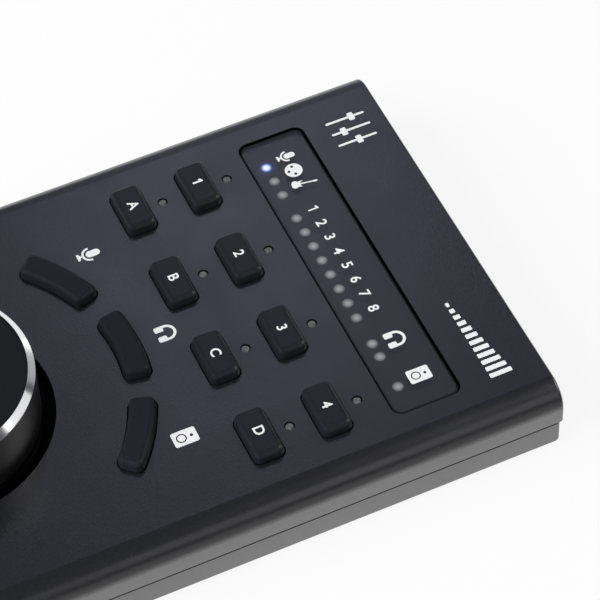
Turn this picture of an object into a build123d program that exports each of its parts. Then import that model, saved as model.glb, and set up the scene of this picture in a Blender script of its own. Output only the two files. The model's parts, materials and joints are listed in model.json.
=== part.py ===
from build123d import *
from math import cos, degrees, radians, sin, tan
import os

# Desktop audio controller: a low metal case with a large push-and-turn knob, eight keys,
# three curved keys round the knob and a window of indicator lights.
# Millimetres, +X right, +Y to the rear, +Z up, origin on the desk under the middle of the case.

# Case
body_width = 94.0
body_length = 155.6
long_edge_radius = 5.0
end_edge_radius = 0.6
cover_height = 8.7
cover_wall = 1.6
cover_top = 1.6
seam_gap = 0.8
tray_height = 6.1
tray_inset = 0.3
tray_floor = 1.5
tray_corner_radius = 1.1
tray_edge_radius = 1.0
lip_height = 1.2
lip_wall = 1.0
lip_clearance = 0.2
overrun = 1.0

# Feet
foot_height = 1.5
foot_radius = 5.5
foot_chamfer = 0.5
foot_pocket_depth = 0.6
foot_pocket_clearance = 0.15
foot_side_margin = 10.7
foot_end_margin = 22.5

# Case screws, from below through the tray into the cover
case_screw_margin = 5.6
case_screw_radius = 1.5
case_screw_depth = 6.0
case_screw_head_radius = 2.7
case_screw_head_height = 1.8
case_screw_sink = 2.2
case_screw_key_radius = 1.2
case_screw_key_depth = 1.0
case_boss_radius = 3.6
screw_clearance = 0.1
head_clearance = 0.3

# Main board and its screws
board_depth = 6.0
board_thickness = 1.6
board_clearance = 0.5
board_corner_radius = 1.0
board_notch_clearance = 0.8
board_screw_side_margin = 3.4
board_screw_rear_gap = 7.3
board_screw_front_gap = 10.3
board_screw_middle_share = 0.03855
board_screw_radius = 1.2
board_screw_bite = 3.4
board_screw_head_radius = 2.2
board_screw_head_height = 1.3
board_post_radius = 2.4
board_post_floor = 0.6

# Rectangular keys: four columns, number row behind letter row
key_column_share = 0.22064
key_length_share = 0.5641
key_row_share = 0.09062
key_width_share = 0.4539
key_window_share = 0.07169
key_height = 2.2
key_corner_radius = 1.5
key_draft = 6.0
key_edge_radius = 1.2
number_names = ("key_1", "key_2", "key_3", "key_4")
letter_names = ("key_a", "key_b", "key_c", "key_d")

# Curved keys round the knob
arc_row_share = 0.5915
arc_width = 5.5
arc_half_angle = 11.7
arc_step_angle = 31.3
arc_names = ("mic_key", "headphone_key", "speaker_key")

# What every key has under the cover
key_hole_clearance = 0.25
key_travel = 0.7
press_clearance = 0.1
flange_reach = 0.9
flange_thickness = 0.8
core_inset = 1.0
pill_radius = 1.6
pill_thickness = 0.6
pad_radius = 1.9
pad_thickness = 0.1
mat_thickness = 1.2
mat_window_gap = 1.4
mat_margin = 0.45
mat_corner_radius = 2.0
collar_clearance = 0.5
collar_wall = 0.8

# Indicator light behind each key
indicator_gap_share = 0.4026
indicator_hole_radius = 1.05
indicator_sink = 0.13
pipe_radius = 0.95
pipe_chamfer = 0.3
pipe_flange_radius = 1.5
pipe_flange_thickness = 0.6
pipe_mat_clearance = 0.4

# Window and its lights
window_side_margin = 9.5
window_width = 13.55
window_sink = 0.2
window_thickness = 1.0
window_chamfer = 0.15
window_corner_radius = 1.7
window_groove = 0.5
window_place_share = 0.34402
window_ledge = 1.2
window_ledge_thickness = 1.0
window_rim = 1.2
mask_thickness = 0.1
baffle_clearance = 0.2
light_row_share = 0.2463
light_pitch_share = 0.054
source_light_share = 0.36267
source_light_count = 3
channel_light_share = 0.028
channel_light_count = 8
headphone_light_share = 0.28
headphone_pitch_share = 0.04667
headphone_light_count = 2
speaker_light_share = 0.41067
diffuser_radius = 1.15
diffuser_clearance = 0.05
lamp_length = 1.6
lamp_width = 0.8
lamp_height = 0.6
lamp_gap = 0.2

# Knob
knob_place_share = 0.21555
knob_radius = 21.03
knob_height = 13.65
knob_wall = 3.5
knob_roof = 3.0
knob_bead = 0.47
knob_base_drop = 1.4
knob_base_height = 0.8
knob_base_chamfer = 0.25
knob_groove_depth = 0.53
knob_groove_height = 0.7
knob_hub_radius = 6.5
ring_width = 1.34
ring_lip = 0.06
ring_drop = 1.1
ring_land = 0.35
cap_recess = 0.3
cap_clearance = 0.05
dish_gap = 2.27
dish_depth = 2.6
dish_wall = 1.5
dish_floor = 1.5
dish_rim_radius = 0.5

# Push encoder under the knob
housing_size = 13.0
housing_height = 6.5
housing_chamfer = 1.0
housing_clearance = 0.8
chamber_depth = 4.3
chamber_clearance = 0.2
shaft_radius = 3.0
shaft_flat = 1.5
shaft_height = 9.0
shaft_sink = 1.9
shaft_clearance = 0.05
bushing_radius = 4.5
bushing_rise = 1.4
bushing_clearance = 0.1
washer_radius = 7.0
washer_thickness = 0.5
nut_radius = 6.9
nut_thickness = 2.0
hub_gap = 1.2
push_travel = 0.5
plunger_thickness = 0.8
plunger_nose_radius = 1.2
plunger_nose_height = 0.5
dome_radius = 2.6
dome_top_radius = 1.6
dome_sheet = 0.15

# Encoder board and the header that joins it to the main board
encoder_board_length = 32.0
encoder_board_width = 20.0
encoder_board_thickness = 1.2
encoder_board_corner_radius = 1.0
header_x = 11.5
header_length = 12.7
header_width = 2.5

# Controller chip under the main board
chip_x = -22.0
chip_y = 2.0
chip_size = 10.0
chip_height = 1.4
chip_chamfer = 0.3

# Lead socket at the rear
socket_width = 8.94
socket_height = 3.26
socket_depth = 7.3
socket_wall = 0.3
socket_back = 1.2
socket_recess = 0.2
socket_clearance = 0.3
tongue_width = 6.7
tongue_thickness = 0.7
tongue_inset = 0.6

# Levels, from the desk up
tray_rim = foot_height + tray_height
cover_rim = tray_rim + seam_gap
top_face = cover_rim + cover_height
cover_under = top_face - cover_top
tray_floor_top = foot_height + tray_floor
board_top = top_face - board_depth
board_under = board_top - board_thickness
dish_floor_top = top_face - dish_depth
dish_floor_under = dish_floor_top - dish_floor
flange_under = cover_under - flange_thickness
pill_under = board_top + pad_thickness + press_clearance + key_travel
pill_top = pill_under + pill_thickness
mat_top = board_top + mat_thickness
collar_top = flange_under - key_travel - press_clearance
window_under = top_face - window_sink - window_thickness
mask_under = window_under - mask_thickness
ledge_under = mask_under - window_ledge_thickness
encoder_board_top = dish_floor_under - housing_height
encoder_board_under = encoder_board_top - encoder_board_thickness
shaft_bottom = dish_floor_under - shaft_sink
shaft_top = top_face + shaft_height
bushing_top = top_face + bushing_rise
hub_under = bushing_top + hub_gap
key_top = top_face + key_height
knob_top = top_face + knob_height
ring_seat = knob_top - ring_drop - ring_land
knob_base = top_face - knob_base_drop
chamber_under = dish_floor_under - chamber_depth
plunger_under = shaft_bottom - plunger_thickness
nose_under = plunger_under - plunger_nose_height
dome_top = nose_under - push_travel - press_clearance

# Plan sizes that several pieces share
inside_width = body_width - 2 * cover_wall
inside_length = body_length - 2 * cover_wall
lip_width = inside_width - 2 * lip_clearance
lip_length = inside_length - 2 * lip_clearance
tray_inside_width = lip_width - 2 * lip_wall
tray_inside_length = lip_length - 2 * lip_wall
board_width = tray_inside_width - 2 * board_clearance
board_length = tray_inside_length - 2 * board_clearance
key_column_pitch = key_column_share * body_width
key_length = key_length_share * key_column_pitch
key_row_pitch = key_row_share * body_length
key_width = key_width_share * key_row_pitch
key_window_gap = key_window_share * body_length
draft_inset = key_height * tan(radians(key_draft))
indicator_offset_y = key_width / 2 + indicator_gap_share * (key_row_pitch - key_width)
window_length = body_width - 2 * window_side_margin
light_pitch = light_pitch_share * window_length
headphone_light_pitch = headphone_pitch_share * window_length
knob_base_radius = knob_radius + knob_bead
knob_groove_radius = knob_radius - knob_groove_depth
ring_inner_radius = knob_radius - ring_width
dish_radius = knob_radius + dish_gap
chamber_radius = shaft_radius + chamber_clearance
socket_y = body_length / 2 - socket_recess
socket_z = board_top + socket_height / 2
tray_width = body_width - 2 * tray_inset
tray_length = body_length - 2 * tray_inset

# Places
case_screw_x = inside_width / 2 - case_screw_margin
case_screw_y = inside_length / 2 - case_screw_margin
foot_x = tray_width / 2 - foot_side_margin
foot_y = tray_length / 2 - foot_end_margin
window_y = window_place_share * body_length
window_front_y = window_y - window_width / 2 - window_groove
number_row_y = window_front_y - key_window_gap
letter_row_y = number_row_y - key_row_pitch
light_y = window_y - light_row_share * window_width
source_light_x = -source_light_share * window_length
channel_light_x = -channel_light_share * window_length
headphone_light_x = headphone_light_share * window_length
speaker_light_x = speaker_light_share * window_length
knob_y = -knob_place_share * body_length
arc_outer_radius = letter_row_y - key_width / 2 - arc_row_share * key_row_pitch - knob_y
arc_inner_radius = arc_outer_radius - arc_width
arc_middle_radius = arc_outer_radius - arc_width / 2
arc_end_angle = arc_step_angle + arc_half_angle
board_screw_x = board_width / 2 - board_screw_side_margin
board_screw_rear_y = case_screw_y - board_screw_rear_gap
board_screw_middle_y = board_screw_middle_share * body_length
board_screw_front_y = board_screw_front_gap - case_screw_y
case_screw_places = [(side * case_screw_x, end * case_screw_y) for side in (-1, 1) for end in (-1, 1)]
feet = {
    "foot_front_left": (-foot_x, -foot_y),
    "foot_front_right": (foot_x, -foot_y),
    "foot_rear_left": (-foot_x, foot_y),
    "foot_rear_right": (foot_x, foot_y),
}
board_screws_y = (board_screw_front_y, board_screw_middle_y, board_screw_rear_y)
board_screw_places = [(side * board_screw_x, y) for y in board_screws_y for side in (-1, 1)]


def row_places(names, y):
    first_x = -key_column_pitch * (len(names) - 1) / 2
    return {name: (first_x + key_column_pitch * column, y) for column, name in enumerate(names)}


def light_row(centre_x, pitch, count):
    return [(centre_x + pitch * (place - (count - 1) / 2), light_y) for place in range(count)]


def arc_point(angle):
    turn = radians(angle)
    return (arc_middle_radius * cos(turn), knob_y + arc_middle_radius * sin(turn))


key_places = row_places(letter_names, letter_row_y) | row_places(number_names, number_row_y)
indicator_places = [(x, y + indicator_offset_y) for x, y in key_places.values()]
arc_angles = {name: 90 + arc_step_angle * (1 - place) for place, name in enumerate(arc_names)}
pill_places = key_places | {name: arc_point(angle) for name, angle in arc_angles.items()}
source_lights = light_row(source_light_x, light_pitch, source_light_count)
channel_lights = light_row(channel_light_x, light_pitch, channel_light_count)
headphone_lights = light_row(headphone_light_x, headphone_light_pitch, headphone_light_count)
lit_light = source_lights[0]
dark_lights = source_lights[1:] + channel_lights + headphone_lights + [(speaker_light_x, light_y)]
all_lights = [lit_light] + dark_lights

os.makedirs("parts", exist_ok=True)


def save(piece, name):
    piece.part.label = name
    export_step(piece.part, f"parts/{name}.step")


# Outline of a rectangular key, grown or shrunk all round by grow
def key_outline(level, place, grow):
    with BuildSketch(Plane.XY.offset(level)) as outline:
        with Locations(place):
            corner = max(key_corner_radius + grow, key_corner_radius / 2)
            RectangleRounded(key_length + 2 * grow, key_width + 2 * grow, corner)
    return outline.sketch


# Outline of a curved key, grown or shrunk all round by grow
def arc_outline(level, angle, grow):
    inner = arc_inner_radius - grow
    outer = arc_outer_radius + grow
    half = arc_half_angle + degrees(grow / arc_middle_radius)
    with BuildSketch(Plane.XY.offset(level)) as outline:
        with BuildLine():
            far = CenterArc((0, knob_y), outer, angle - half, 2 * half)
            near = CenterArc((0, knob_y), inner, angle + half, -2 * half)
            Line(far @ 1, near @ 0)
            Line(near @ 1, far @ 0)
        make_face()
        fillet(outline.vertices(), radius=max(key_corner_radius + grow, key_corner_radius / 2))
    return outline.sketch


# The outlines of all eleven keys at one level, grown by grow
def all_outlines(level, grow):
    straight = [key_outline(level, place, grow) for place in key_places.values()]
    curved = [arc_outline(level, angle, grow) for angle in arc_angles.values()]
    return straight + curved


# Top cover
with BuildPart() as top_cover:
    with BuildSketch(Plane.XZ) as outer_section:
        with Locations((0, cover_rim)):
            Rectangle(body_width, cover_height, align=(Align.CENTER, Align.MIN))
        fillet(outer_section.vertices().group_by(Axis.Y)[-1], radius=long_edge_radius)
    extrude(amount=body_length / 2, both=True)
    end_edges = top_cover.faces().filter_by(Axis.Y).edges()
    end_edges = end_edges.filter_by_position(Axis.Z, cover_rim, top_face, inclusive=(False, True))
    fillet(end_edges, radius=end_edge_radius)

    with BuildSketch(Plane.XZ) as inner_section:
        with Locations((0, cover_under)):
            depth = cover_height - cover_top + overrun
            Rectangle(inside_width, depth, align=(Align.CENTER, Align.MAX))
        fillet(inner_section.vertices().group_by(Axis.Y)[-1], radius=long_edge_radius - cover_wall)
    extrude(amount=inside_length / 2, both=True, mode=Mode.SUBTRACT)

    # Cup of the knob dish, rim under the window, board posts and screw bosses
    with BuildSketch(Plane.XY.offset(cover_under)):
        with Locations((0, knob_y)):
            Circle(dish_radius + dish_wall)
    extrude(amount=dish_floor_under - cover_under)
    with BuildSketch(Plane.XY.offset(cover_under)):
        with Locations((0, window_y)):
            rim = 2 * (window_groove + window_rim)
            RectangleRounded(window_length + rim, window_width + rim, window_corner_radius)
    extrude(amount=ledge_under - cover_under)
    with BuildSketch(Plane.XY.offset(cover_under)):
        with Locations(*board_screw_places):
            Circle(board_post_radius)
    extrude(amount=board_top - cover_under)
    with BuildSketch(Plane.XY.offset(cover_under)):
        with Locations(*case_screw_places):
            Circle(case_boss_radius)
    extrude(amount=tray_rim - cover_under)

    # Knob dish and the hole for the encoder bushing
    with BuildSketch(Plane.XY.offset(top_face)):
        with Locations((0, knob_y)):
            Circle(dish_radius)
    extrude(amount=-dish_depth, mode=Mode.SUBTRACT)
    with BuildSketch(Plane.XY.offset(dish_floor_top)):
        with Locations((0, knob_y)):
            Circle(bushing_radius + bushing_clearance)
    extrude(amount=-dish_floor, mode=Mode.SUBTRACT)
    dish_rim = top_cover.edges().filter_by(GeomType.CIRCLE).group_by(Axis.Z)[-1]
    fillet(dish_rim.sort_by(SortBy.RADIUS)[-1], radius=dish_rim_radius)

    # Window pocket and the slot for its lights
    with BuildSketch(Plane.XY.offset(top_face)):
        with Locations((0, window_y)):
            groove = 2 * window_groove
            corner = window_corner_radius + window_groove
            RectangleRounded(window_length + groove, window_width + groove, corner)
    extrude(amount=mask_under - top_face, mode=Mode.SUBTRACT)
    with BuildSketch(Plane.XY.offset(mask_under)):
        with Locations((0, window_y)):
            ledge = 2 * window_ledge
            RectangleRounded(window_length - ledge, window_width - ledge, window_corner_radius)
    extrude(amount=-window_ledge_thickness, mode=Mode.SUBTRACT)

    # Key and indicator holes
    for outline in all_outlines(top_face, key_hole_clearance):
        extrude(outline, amount=-cover_top, mode=Mode.SUBTRACT)
    with BuildSketch(Plane.XY.offset(top_face)):
        with Locations(*indicator_places):
            Circle(indicator_hole_radius)
    extrude(amount=-cover_top, mode=Mode.SUBTRACT)

    # Screw holes
    with BuildSketch(Plane.XY.offset(board_top)):
        with Locations(*board_screw_places):
            Circle(board_screw_radius + screw_clearance)
    extrude(amount=board_screw_bite + board_post_floor, mode=Mode.SUBTRACT)
    with BuildSketch(Plane.XY.offset(tray_rim)):
        with Locations(*case_screw_places):
            Circle(case_screw_radius + screw_clearance)
    extrude(amount=case_screw_depth + board_post_floor, mode=Mode.SUBTRACT)

    # Socket hole in the rear wall
    with BuildSketch(Plane.XZ.offset(-body_length / 2 - overrun)):
        with Locations((0, socket_z)):
            SlotOverall(socket_width + 2 * socket_clearance, socket_height + 2 * socket_clearance)
    extrude(amount=cover_wall + 2 * overrun, mode=Mode.SUBTRACT)
save(top_cover, "top_cover")

# Bottom tray
with BuildPart() as bottom_tray:
    with BuildSketch(Plane.XY.offset(foot_height)):
        RectangleRounded(tray_width, tray_length, tray_corner_radius)
    extrude(amount=tray_height)
    fillet(bottom_tray.faces().sort_by(Axis.Z)[0].edges(), radius=tray_edge_radius)
    with BuildSketch(Plane.XY.offset(tray_rim)):
        Rectangle(lip_width, lip_length)
    extrude(amount=seam_gap + lip_height)
    with BuildSketch(Plane.XY.offset(tray_floor_top)):
        Rectangle(tray_inside_width, tray_inside_length)
    extrude(amount=cover_height + tray_height, mode=Mode.SUBTRACT)
    with BuildSketch(Plane.XY.offset(tray_floor_top)):
        with Locations(*case_screw_places):
            Circle(case_boss_radius)
    extrude(amount=tray_rim - tray_floor_top)
    with BuildSketch(Plane.XY.offset(foot_height)):
        with Locations(*case_screw_places):
            Circle(case_screw_radius + screw_clearance)
    extrude(amount=tray_height, mode=Mode.SUBTRACT)
    with BuildSketch(Plane.XY.offset(foot_height)):
        with Locations(*case_screw_places):
            Circle(case_screw_head_radius + head_clearance)
    extrude(amount=case_screw_sink, mode=Mode.SUBTRACT)
    with BuildSketch(Plane.XY.offset(foot_height)):
        with Locations(*feet.values()):
            Circle(foot_radius + foot_pocket_clearance)
    extrude(amount=foot_pocket_depth, mode=Mode.SUBTRACT)
save(bottom_tray, "bottom_tray")

# Rubber feet
for name, place in feet.items():
    with BuildPart() as foot:
        with BuildSketch(Plane.XY):
            with Locations(place):
                Circle(foot_radius)
        extrude(amount=foot_height + foot_pocket_depth)
        chamfer(foot.edges().group_by(Axis.Z)[0], length=foot_chamfer)
    save(foot, name)

# Case screws
with BuildPart() as case_screw_set:
    with BuildSketch(Plane.XY.offset(foot_height + case_screw_sink)):
        with Locations(*case_screw_places):
            Circle(case_screw_head_radius)
    extrude(amount=-case_screw_head_height)
    with BuildSketch(Plane.XY.offset(foot_height + case_screw_sink)):
        with Locations(*case_screw_places):
            Circle(case_screw_radius)
    extrude(amount=tray_height - case_screw_sink + case_screw_depth)
    with BuildSketch(Plane.XY.offset(foot_height + case_screw_sink - case_screw_head_height)):
        with Locations(*case_screw_places):
            RegularPolygon(case_screw_key_radius, 6)
    extrude(amount=case_screw_key_depth, mode=Mode.SUBTRACT)
save(case_screw_set, "case_screws")

# Main board, notched round the case bosses and cut out round the encoder
with BuildPart() as main_board:
    notch_x = case_screw_x - case_boss_radius - board_notch_clearance
    notch_y = case_screw_y - case_boss_radius - board_notch_clearance
    with BuildSketch(Plane.XY.offset(board_under)) as board_shape:
        Rectangle(board_width, 2 * notch_y)
        Rectangle(2 * notch_x, board_length)
        fillet(board_shape.vertices(), radius=board_corner_radius)
        with Locations((0, knob_y)):
            opening = housing_size + 2 * housing_clearance
            Rectangle(opening, opening, mode=Mode.SUBTRACT)
        with Locations(*board_screw_places):
            Circle(board_screw_radius + screw_clearance, mode=Mode.SUBTRACT)
    extrude(amount=board_thickness)
save(main_board, "main_board")

# Board screws, heads under the board
with BuildPart() as board_screw_set:
    with BuildSketch(Plane.XY.offset(board_under)):
        with Locations(*board_screw_places):
            Circle(board_screw_head_radius)
    extrude(amount=-board_screw_head_height)
    with BuildSketch(Plane.XY.offset(board_under)):
        with Locations(*board_screw_places):
            Circle(board_screw_radius)
    extrude(amount=board_thickness + board_screw_bite)
save(board_screw_set, "board_screws")

# Key mat, with a collar round each key and a hole round each light pipe
with BuildPart() as keypad_mat:
    key_reach_x = key_column_pitch * (len(number_names) - 1) / 2 + key_length / 2
    key_front_y = letter_row_y - key_width / 2 - mat_margin
    mat_rear_y = window_front_y - mat_window_gap
    arc_reach_x = arc_outer_radius * sin(radians(arc_end_angle)) + mat_margin
    mat_front_y = knob_y + arc_inner_radius * cos(radians(arc_end_angle)) - mat_margin
    with BuildSketch(Plane.XY.offset(board_top)):
        with Locations((0, mat_rear_y)):
            key_field = (2 * (key_reach_x + mat_margin), mat_rear_y - key_front_y)
            RectangleRounded(*key_field, mat_corner_radius, align=(Align.CENTER, Align.MAX))
            arc_field = (2 * arc_reach_x, mat_rear_y - mat_front_y)
            RectangleRounded(*arc_field, mat_corner_radius, align=(Align.CENTER, Align.MAX))
        with Locations(*indicator_places):
            Circle(pipe_flange_radius + pipe_mat_clearance, mode=Mode.SUBTRACT)
    extrude(amount=mat_thickness)
    collar_grow = collar_clearance - core_inset
    for outline in all_outlines(mat_top, collar_grow + collar_wall):
        extrude(outline, amount=collar_top - mat_top)
    for outline in all_outlines(board_top, collar_grow):
        extrude(outline, amount=collar_top - board_top, mode=Mode.SUBTRACT)
save(keypad_mat, "keypad_mat")


# One key: drafted cap through the cover, flange under the cover and core down to its contact
def make_key(name, outline_at):
    with BuildPart() as key:
        extrude(outline_at(cover_under, 0), amount=cover_top)
        loft([outline_at(top_face, 0).face(), outline_at(key_top, -draft_inset).face()], ruled=True)
        fillet(key.faces().sort_by(Axis.Z)[-1].edges(), radius=key_edge_radius)
        extrude(outline_at(cover_under, flange_reach), amount=-flange_thickness)
        extrude(outline_at(flange_under, -core_inset), amount=pill_top - flange_under)
    save(key, name)


for key_name, key_place in key_places.items():
    make_key(key_name, lambda level, grow, place=key_place: key_outline(level, place, grow))
for key_name, key_angle in arc_angles.items():
    make_key(key_name, lambda level, grow, angle=key_angle: arc_outline(level, angle, grow))

# Carbon contact under each key
for key_name, place in pill_places.items():
    with BuildPart() as pill:
        with BuildSketch(Plane.XY.offset(pill_under)):
            with Locations(place):
                Circle(pill_radius)
        extrude(amount=pill_thickness)
    save(pill, f"{key_name}_contact")

# Contact pads on the board
with BuildPart() as contact_pads:
    with BuildSketch(Plane.XY.offset(board_top)):
        with Locations(*pill_places.values()):
            Circle(pad_radius)
    extrude(amount=pad_thickness)
save(contact_pads, "contact_pads")


# A set of small lights on the board
def make_lamps(name, places):
    with BuildPart() as lamps:
        with BuildSketch(Plane.XY.offset(board_top)):
            with Locations(*places):
                Rectangle(lamp_length, lamp_width)
        extrude(amount=lamp_height)
    save(lamps, name)


make_lamps("window_lamps", all_lights)
make_lamps("indicator_lamps", indicator_places)

# Light pipes of the key indicators, bevelled and sunk a little below the cover
with BuildPart() as light_pipes:
    pipe_under = board_top + lamp_height
    with BuildSketch(Plane.XY.offset(pipe_under)):
        with Locations(*indicator_places):
            Circle(pipe_radius)
    extrude(amount=top_face - indicator_sink - pipe_under)
    chamfer(light_pipes.edges().group_by(Axis.Z)[-1], length=pipe_chamfer)
    with BuildSketch(Plane.XY.offset(cover_under)):
        with Locations(*indicator_places):
            Circle(pipe_flange_radius)
    extrude(amount=-pipe_flange_thickness)
save(light_pipes, "light_pipes")

# Display window, sunk a little in its pocket
with BuildPart() as display_window:
    with BuildSketch(Plane.XY.offset(window_under)):
        with Locations((0, window_y)):
            RectangleRounded(window_length, window_width, window_corner_radius)
    extrude(amount=window_thickness)
    chamfer(display_window.faces().sort_by(Axis.Z)[-1].edges(), length=window_chamfer)
save(display_window, "display_window")

# Dark mask between the window and its ledge, open over each light
with BuildPart() as window_mask:
    with BuildSketch(Plane.XY.offset(mask_under)):
        with Locations((0, window_y)):
            RectangleRounded(window_length, window_width, window_corner_radius)
        with Locations(*all_lights):
            Circle(diffuser_radius + diffuser_clearance, mode=Mode.SUBTRACT)
    extrude(amount=mask_thickness)
save(window_mask, "window_mask")

# Baffle under the window, one well for each light
with BuildPart() as light_baffle:
    inset = 2 * (window_ledge + baffle_clearance)
    with BuildSketch(Plane.XY.offset(board_top)):
        with Locations((0, window_y)):
            RectangleRounded(window_length - inset, window_width - inset, window_corner_radius)
        with Locations(*all_lights):
            Circle(diffuser_radius + diffuser_clearance, mode=Mode.SUBTRACT)
    extrude(amount=mask_under - board_top)
save(light_baffle, "light_baffle")


# Diffuser pegs in the wells of the baffle, up to the window
def make_diffusers(name, places):
    with BuildPart() as diffusers:
        peg_under = board_top + lamp_height + lamp_gap
        with BuildSketch(Plane.XY.offset(peg_under)):
            with Locations(*places):
                Circle(diffuser_radius)
        extrude(amount=window_under - peg_under)
    save(diffusers, name)


make_diffusers("lit_diffuser", [lit_light])
make_diffusers("dark_diffusers", dark_lights)


# Round shaft with one flat, or the bore that fits it
def shaft_outline(level, grow):
    with BuildSketch(Plane.XY.offset(level)) as outline:
        with Locations((0, knob_y)):
            Circle(shaft_radius + grow)
        with Locations((0, knob_y + shaft_radius - shaft_flat + grow)):
            width = 2 * (shaft_radius + grow)
            Rectangle(width, width, align=(Align.CENTER, Align.MIN), mode=Mode.SUBTRACT)
    return outline.sketch


# Half section of a turned piece about the knob axis, from points given as (radius, level)
def turned_section(points):
    with BuildSketch(Plane.XZ.offset(-knob_y)) as section:
        with BuildLine():
            Polyline(*points, close=True)
        make_face()
    return section.sketch


knob_axis = Axis((0, knob_y, 0), (0, 0, 1))

# Knob shell: base bead, shadow groove, plain side, hub with a flatted bore
with BuildPart() as knob_shell:
    bead_top = knob_base + knob_base_height
    groove_top = bead_top + knob_groove_height
    bead_edge = knob_base_radius - knob_base_chamfer
    cavity_radius = knob_radius - knob_wall
    roof_under = ring_seat - knob_roof
    revolve(
        turned_section(
            [
                (cavity_radius, knob_base),
                (bead_edge, knob_base),
                (knob_base_radius, knob_base + knob_base_chamfer),
                (knob_base_radius, bead_top - knob_base_chamfer),
                (bead_edge, bead_top),
                (knob_groove_radius, bead_top),
                (knob_groove_radius, groove_top),
                (knob_radius, groove_top),
                (knob_radius, ring_seat),
                (0, ring_seat),
                (0, hub_under),
                (knob_hub_radius, hub_under),
                (knob_hub_radius, roof_under),
                (cavity_radius, roof_under),
            ]
        ),
        axis=knob_axis,
    )
    bore = shaft_outline(hub_under, shaft_clearance)
    extrude(bore, amount=shaft_top + shaft_clearance - hub_under, mode=Mode.SUBTRACT)
save(knob_shell, "knob_shell")

# Bright ring with its bevel, seated on the rim of the shell
with BuildPart() as knob_ring:
    revolve(
        turned_section(
            [
                (ring_inner_radius, ring_seat),
                (knob_radius, ring_seat),
                (knob_radius, ring_seat + ring_land),
                (ring_inner_radius + ring_lip, knob_top),
                (ring_inner_radius, knob_top),
            ]
        ),
        axis=knob_axis,
    )
save(knob_ring, "knob_ring")

# Top disc inside the ring
with BuildPart() as knob_cap:
    with BuildSketch(Plane.XY.offset(ring_seat)):
        with Locations((0, knob_y)):
            Circle(ring_inner_radius - cap_clearance)
    extrude(amount=knob_top - cap_recess - ring_seat)
save(knob_cap, "knob_cap")

# Encoder shaft, round in the bushing and flatted in the hub
with BuildPart() as encoder_shaft:
    with BuildSketch(Plane.XY.offset(shaft_bottom)):
        with Locations((0, knob_y)):
            Circle(shaft_radius)
    extrude(amount=bushing_top - shaft_bottom)
    extrude(shaft_outline(bushing_top, 0), amount=shaft_top - bushing_top)
save(encoder_shaft, "encoder_shaft")

# Encoder housing with the chamber for the shaft foot, plunger and dome
with BuildPart() as encoder_housing:
    with BuildSketch(Plane.XY.offset(encoder_board_top)) as housing_shape:
        with Locations((0, knob_y)):
            Rectangle(housing_size, housing_size)
        chamfer(housing_shape.vertices(), length=housing_chamfer)
    extrude(amount=housing_height)
    with BuildSketch(Plane.XY.offset(dish_floor_under)):
        with Locations((0, knob_y)):
            Circle(chamber_radius)
    extrude(amount=-chamber_depth, mode=Mode.SUBTRACT)
save(encoder_housing, "encoder_housing")


# A ring about the knob axis
def make_ring(name, level, height, outer_radius, inner_radius):
    with BuildPart() as ring:
        with BuildSketch(Plane.XY.offset(level)):
            with Locations((0, knob_y)):
                Circle(outer_radius)
                Circle(inner_radius, mode=Mode.SUBTRACT)
        extrude(amount=height)
    save(ring, name)


bushing_height = bushing_top - dish_floor_under
make_ring("encoder_bushing", dish_floor_under, bushing_height, bushing_radius, shaft_radius + shaft_clearance)
clear_of_bushing = bushing_radius + bushing_clearance
make_ring("encoder_washer", dish_floor_top, washer_thickness, washer_radius, clear_of_bushing)

# Hexagon nut that clamps the bushing to the dish floor
with BuildPart() as encoder_nut:
    with BuildSketch(Plane.XY.offset(dish_floor_top + washer_thickness)):
        with Locations((0, knob_y)):
            RegularPolygon(nut_radius, 6)
            Circle(clear_of_bushing, mode=Mode.SUBTRACT)
    extrude(amount=nut_thickness)
save(encoder_nut, "encoder_nut")

# Plunger under the shaft
with BuildPart() as push_plunger:
    with BuildSketch(Plane.XY.offset(plunger_under)):
        with Locations((0, knob_y)):
            Circle(shaft_radius)
    extrude(amount=plunger_thickness)
    with BuildSketch(Plane.XY.offset(plunger_under)):
        with Locations((0, knob_y)):
            Circle(plunger_nose_radius)
    extrude(amount=-plunger_nose_height)
save(push_plunger, "push_plunger")

# Snap dome on the floor of the chamber
with BuildPart() as push_dome:
    revolve(
        turned_section(
            [
                (dome_radius - dome_sheet, chamber_under),
                (dome_radius, chamber_under),
                (dome_top_radius, dome_top),
                (0, dome_top),
                (0, dome_top - dome_sheet),
                (dome_top_radius - dome_sheet, dome_top - dome_sheet),
            ]
        ),
        axis=knob_axis,
    )
save(push_dome, "push_dome")

# Encoder board
with BuildPart() as encoder_board:
    with BuildSketch(Plane.XY.offset(encoder_board_under)):
        with Locations((0, knob_y)):
            RectangleRounded(encoder_board_length, encoder_board_width, encoder_board_corner_radius)
    extrude(amount=encoder_board_thickness)
save(encoder_board, "encoder_board")

# Header between the two boards
with BuildPart() as board_header:
    with BuildSketch(Plane.XY.offset(encoder_board_top)):
        with Locations((header_x, knob_y)):
            Rectangle(header_width, header_length)
    extrude(amount=board_under - encoder_board_top)
save(board_header, "board_header")

# Controller chip under the main board
with BuildPart() as controller_chip:
    with BuildSketch(Plane.XY.offset(board_under)):
        with Locations((chip_x, chip_y)):
            Rectangle(chip_size, chip_size)
    extrude(amount=-chip_height)
    chamfer(controller_chip.faces().sort_by(Axis.Z)[0].edges(), length=chip_chamfer)
save(controller_chip, "controller_chip")

# Socket shell, an open oval tube with a closed back
with BuildPart() as socket_shell:
    with BuildSketch(Plane.XZ.offset(-socket_y)):
        with Locations((0, socket_z)):
            SlotOverall(socket_width, socket_height)
    extrude(amount=socket_depth)
    with BuildSketch(Plane.XZ.offset(-socket_y)):
        with Locations((0, socket_z)):
            SlotOverall(socket_width - 2 * socket_wall, socket_height - 2 * socket_wall)
    extrude(amount=socket_depth - socket_back, mode=Mode.SUBTRACT)
save(socket_shell, "socket_shell")

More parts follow.
